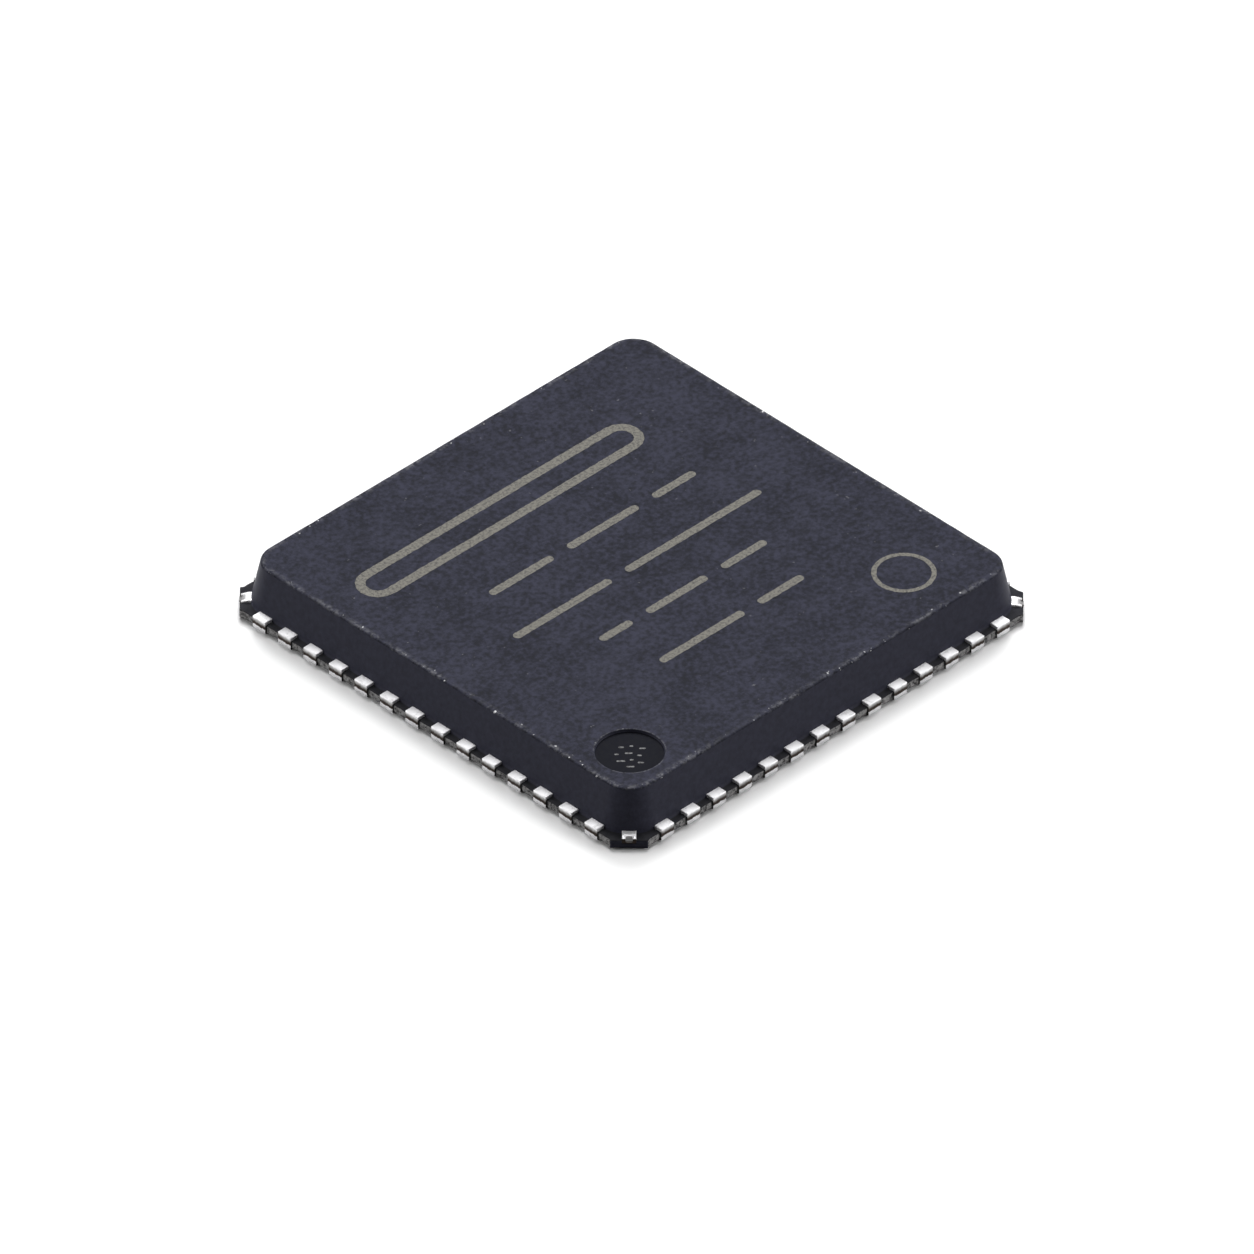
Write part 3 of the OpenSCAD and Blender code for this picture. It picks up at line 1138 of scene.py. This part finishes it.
def floor_material():
    """White to the camera and in reflections, with the shadow kept, and a dimmer bounce on the walls."""
    material = bpy.data.materials.new("pale_floor")
    material.use_nodes = True
    tree = material.node_tree
    tree.nodes.clear()
    path = tree.nodes.new("ShaderNodeLightPath")
    mirrored = combine(tree, "MAXIMUM", path.outputs["Is Glossy Ray"], path.outputs["Is Transmission Ray"])
    level = remap(tree, mirrored, FULL_SPAN, (FLOOR_BOUNCE, FLOOR_MIRRORED))
    raised = combine(tree, "MULTIPLY", path.outputs["Is Camera Ray"], FLOOR_SEEN - FLOOR_BOUNCE)
    diffuse = tree.nodes.new("ShaderNodeBsdfDiffuse")
    link(tree, combine(tree, "ADD", level, raised), diffuse.inputs["Color"])
    output = tree.nodes.new("ShaderNodeOutputMaterial")
    link(tree, diffuse.outputs[0], output.inputs["Surface"])
    return material


def make_floor():
    bm = bmesh.new()
    corners = [(-FLOOR_REACH, -FLOOR_REACH), (FLOOR_REACH, -FLOOR_REACH), (FLOOR_REACH, FLOOR_REACH),
               (-FLOOR_REACH, FLOOR_REACH)]
    bm.faces.new([bm.verts.new((x, y, -FLOOR_DROP)) for x, y in corners])
    floor = add_object("floor", bm, [floor_material()])
    to_metres(floor)


def make_world():
    """A dim white surround."""
    world = bpy.data.worlds.new("studio")
    bpy.context.scene.world = world
    world.use_nodes = True
    background = world.node_tree.nodes["Background"]
    background.inputs["Color"].default_value = (1, 1, 1, 1)
    background.inputs["Strength"].default_value = WORLD_LIGHT


def direction(azimuth, elevation):
    """Unit vector from the object, at an azimuth counted from -Y and an elevation."""
    flat = math.cos(elevation)
    return Vector((math.sin(azimuth) * flat, -math.cos(azimuth) * flat, math.sin(elevation)))


def make_softbox(name, azimuth, elevation, size, radiance):
    """A square soft light that looks at the object."""
    away = direction(math.radians(azimuth), math.radians(elevation))
    light = bpy.data.lights.new(name, "AREA")
    light.shape = "SQUARE"
    light.size = size * MM
    light.energy = radiance * math.pi * (size * MM) ** 2
    lamp = bpy.data.objects.new(name, light)
    lamp.location = away * LIGHT_DISTANCE * MM
    lamp.rotation_mode = "QUATERNION"
    lamp.rotation_quaternion = away.to_track_quat("Z", "Y")
    bpy.context.scene.collection.objects.link(lamp)


def make_camera():
    """The photograph's camera."""
    back = direction(CAMERA_AZIMUTH, CAMERA_ELEVATION)
    level = Vector((math.cos(CAMERA_AZIMUTH), math.sin(CAMERA_AZIMUTH), 0))
    upright = back.cross(level)
    right = math.cos(CAMERA_ROLL) * level + math.sin(CAMERA_ROLL) * upright
    up = math.cos(CAMERA_ROLL) * upright - math.sin(CAMERA_ROLL) * level
    place = back * CAMERA_DISTANCE + right * CAMERA_SIDE + up * CAMERA_RISE
    camera = bpy.data.objects.new("camera", bpy.data.cameras.new("camera"))
    camera.data.sensor_width = SENSOR_MM
    camera.data.lens = FOCAL_PX / IMAGE_PX * SENSOR_MM
    camera.data.clip_start, camera.data.clip_end = CAMERA_CLIP_M
    turn = Matrix((right, up, back)).transposed().to_4x4()
    camera.matrix_world = Matrix.Translation(place * MM) @ turn
    bpy.context.scene.collection.objects.link(camera)
    bpy.context.scene.camera = camera


# The object

tin = tin_material("matte_tin", MATTE_TIN_ROUGH)
blanks = make_leads([tin, punched_end_material(), flank_material()])
resins = [top_resin_material(), web_resin_and_shade_material(), pressed_resin_material(),
          drawn_resin_material("drawn_resin", WALL_DARK, WALL_PALE),
          drawn_resin_material("ledge_resin", LEDGE_DARK, LEDGE_PALE)]
make_resin_body(resins, blanks)
torn = varied_metal("torn_copper", COPPER_BLACK_AND_SHADE, COPPER_DARK, SCRAPED_PATCHES, TORN_ROUGH)
scraped = varied_metal("scraped_tin", TIN_DULL, TIN_GREY, SCRAPED_PATCHES, SCRAPED_ROUGH)
burr = varied_metal("burr", TIN_BLACK, TIN_DULL, SCRAPED_PATCHES, SCRAPED_ROUGH)
make_paddle([tin, torn, scraped, burr, tin_material("burnished_tin", BURNISHED_TIN_ROUGH)])
dress_node("die", varied_metal("silicon", SILICON_DARK, SILICON_PALE, SILICON_PATCHES, SILICON_ROUGH))
dress_node("bond_wires", varied_metal("gold_wire", GOLD_DARK, GOLD_PALE, GOLD_PATCHES, GOLD_ROUGH))
make_marks(crumbled_material("laser_burn", LASER_DARK, LASER_PALE))
# The flecks' pale colour is a painted glint
make_flecks(crumbled_material("fleck_resin_and_glint", FLECK_DARK, FLECK_GLINT))

# The stage

make_floor()
make_world()
for light in LIGHTS:
    make_softbox(*light)
make_camera()
bpy.context.scene.view_settings.view_transform = "Standard"
